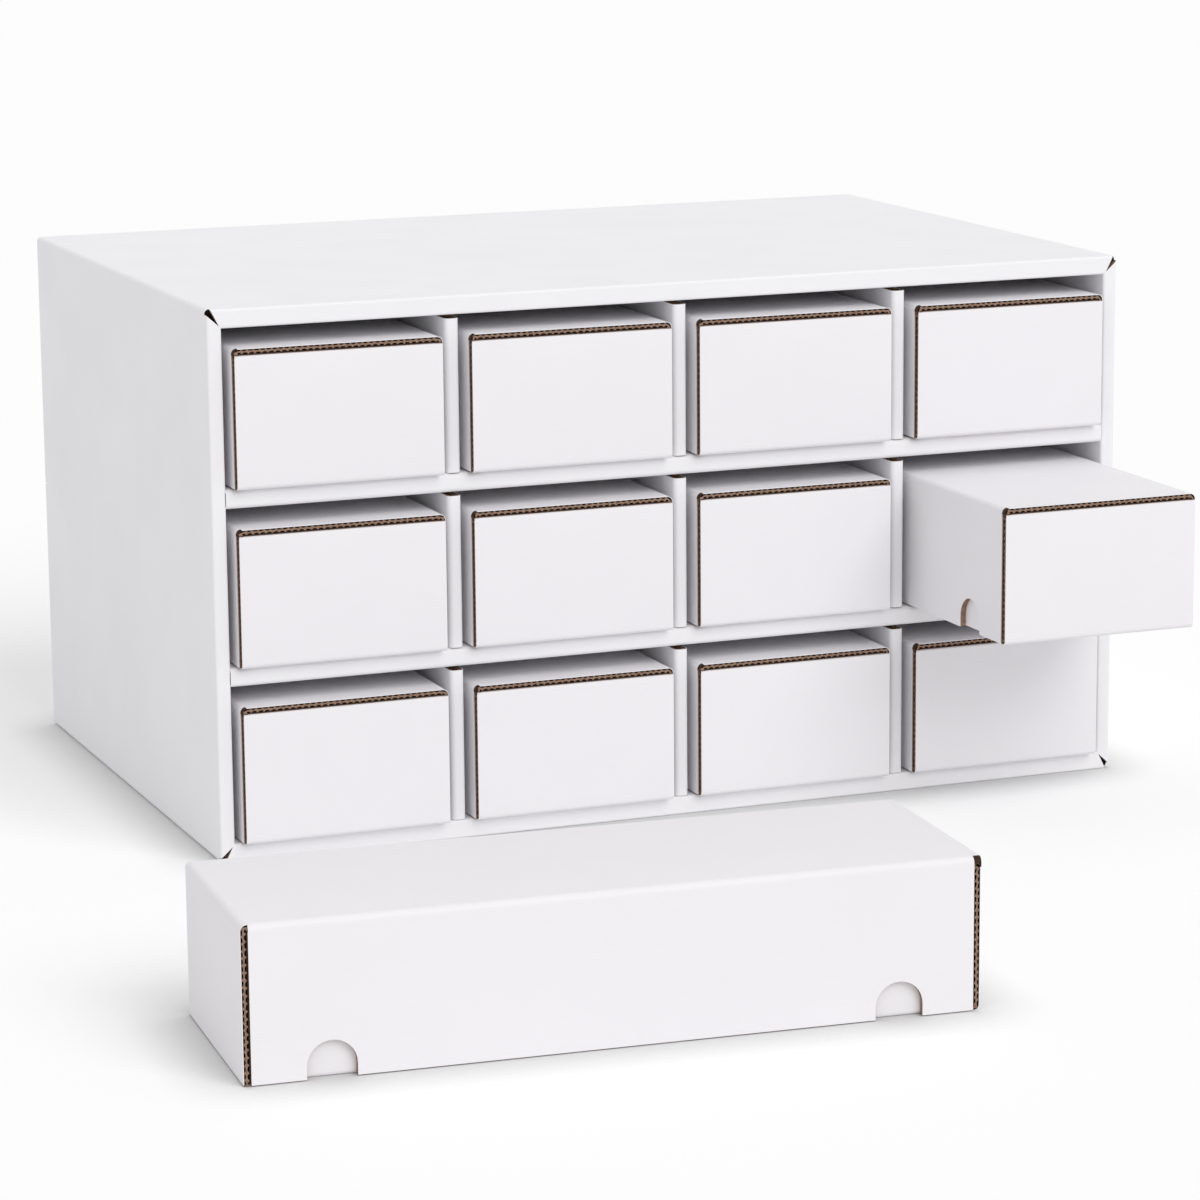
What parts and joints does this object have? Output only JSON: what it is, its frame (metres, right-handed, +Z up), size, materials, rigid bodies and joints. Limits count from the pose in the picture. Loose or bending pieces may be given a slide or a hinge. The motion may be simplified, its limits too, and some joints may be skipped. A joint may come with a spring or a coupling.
{
  "type": "card storage box",
  "caption": "White corrugated-board card house: open bays that each hold a lidded card box as a drawer, with a matching lidded box standing loose in front.",
  "frame": {"origin": "centre of the house's underside, on the surface that it stands on", "axes": "+Z up, -Y out of the drawer fronts, +X to the right as seen from the front"},
  "size_m": [0.5905, 0.6976, 0.2778],
  "materials": {
    "house_board": "white coated corrugated board, matte",
    "box_board": "white coated corrugated board, matte"
  },
  "bodies": {
    "house": {"outer_case": "house_board", "shelf_upper": "house_board", "shelf_lower": "house_board", "divider_r1_1": "house_board", "divider_r1_2": "house_board", "divider_r1_3": "house_board", "divider_r2_1": "house_board", "divider_r2_2": "house_board", "divider_r2_3": "house_board", "divider_r3_1": "house_board", "divider_r3_2": "house_board", "divider_r3_3": "house_board", "loose_tray": "box_board"},
    "drawer_r1c1": {"tray_r1c1": "box_board", "lid_r1c1": "box_board"},
    "drawer_r1c2": {"tray_r1c2": "box_board", "lid_r1c2": "box_board"},
    "drawer_r1c3": {"tray_r1c3": "box_board", "lid_r1c3": "box_board"},
    "drawer_r1c4": {"tray_r1c4": "box_board", "lid_r1c4": "box_board"},
    "drawer_r2c1": {"tray_r2c1": "box_board", "lid_r2c1": "box_board"},
    "drawer_r2c2": {"tray_r2c2": "box_board", "lid_r2c2": "box_board"},
    "drawer_r2c3": {"tray_r2c3": "box_board", "lid_r2c3": "box_board"},
    "drawer_r2c4": {"tray_r2c4": "box_board", "lid_r2c4": "box_board"},
    "drawer_r3c1": {"tray_r3c1": "box_board", "lid_r3c1": "box_board"},
    "drawer_r3c2": {"tray_r3c2": "box_board", "lid_r3c2": "box_board"},
    "drawer_r3c3": {"tray_r3c3": "box_board", "lid_r3c3": "box_board"},
    "drawer_r3c4": {"tray_r3c4": "box_board", "lid_r3c4": "box_board"},
    "loose_lid": {"loose_lid": "box_board"}
  },
  "joints": [
    {"name": "slide_r1c1", "type": "slide", "parent": "house", "child": "drawer_r1c1", "axis": [0, -1, 0], "range_m": [0, 0.16]},
    {"name": "slide_r1c2", "type": "slide", "parent": "house", "child": "drawer_r1c2", "axis": [0, -1, 0], "range_m": [0, 0.16]},
    {"name": "slide_r1c3", "type": "slide", "parent": "house", "child": "drawer_r1c3", "axis": [0, -1, 0], "range_m": [0, 0.16]},
    {"name": "slide_r1c4", "type": "slide", "parent": "house", "child": "drawer_r1c4", "axis": [0, -1, 0], "range_m": [0, 0.16]},
    {"name": "slide_r2c1", "type": "slide", "parent": "house", "child": "drawer_r2c1", "axis": [0, -1, 0], "range_m": [0, 0.16]},
    {"name": "slide_r2c2", "type": "slide", "parent": "house", "child": "drawer_r2c2", "axis": [0, -1, 0], "range_m": [0, 0.16]},
    {"name": "slide_r2c3", "type": "slide", "parent": "house", "child": "drawer_r2c3", "axis": [0, -1, 0], "range_m": [0, 0.16]},
    {"name": "slide_r2c4", "type": "slide", "parent": "house", "child": "drawer_r2c4", "axis": [0, -1, 0], "range_m": [-0.1015, 0.0585]},
    {"name": "slide_r3c1", "type": "slide", "parent": "house", "child": "drawer_r3c1", "axis": [0, -1, 0], "range_m": [0, 0.16]},
    {"name": "slide_r3c2", "type": "slide", "parent": "house", "child": "drawer_r3c2", "axis": [0, -1, 0], "range_m": [0, 0.16]},
    {"name": "slide_r3c3", "type": "slide", "parent": "house", "child": "drawer_r3c3", "axis": [0, -1, 0], "range_m": [0, 0.16]},
    {"name": "slide_r3c4", "type": "slide", "parent": "house", "child": "drawer_r3c4", "axis": [0, -1, 0], "range_m": [0, 0.16]},
    {"name": "loose_lid_hinge", "type": "hinge", "parent": "house", "child": "loose_lid", "pos_m": [-0.1692, -0.41257, 0.067], "axis": [-0.9974, 0.0715, 0], "range_deg": [0, 110]}
  ]
}
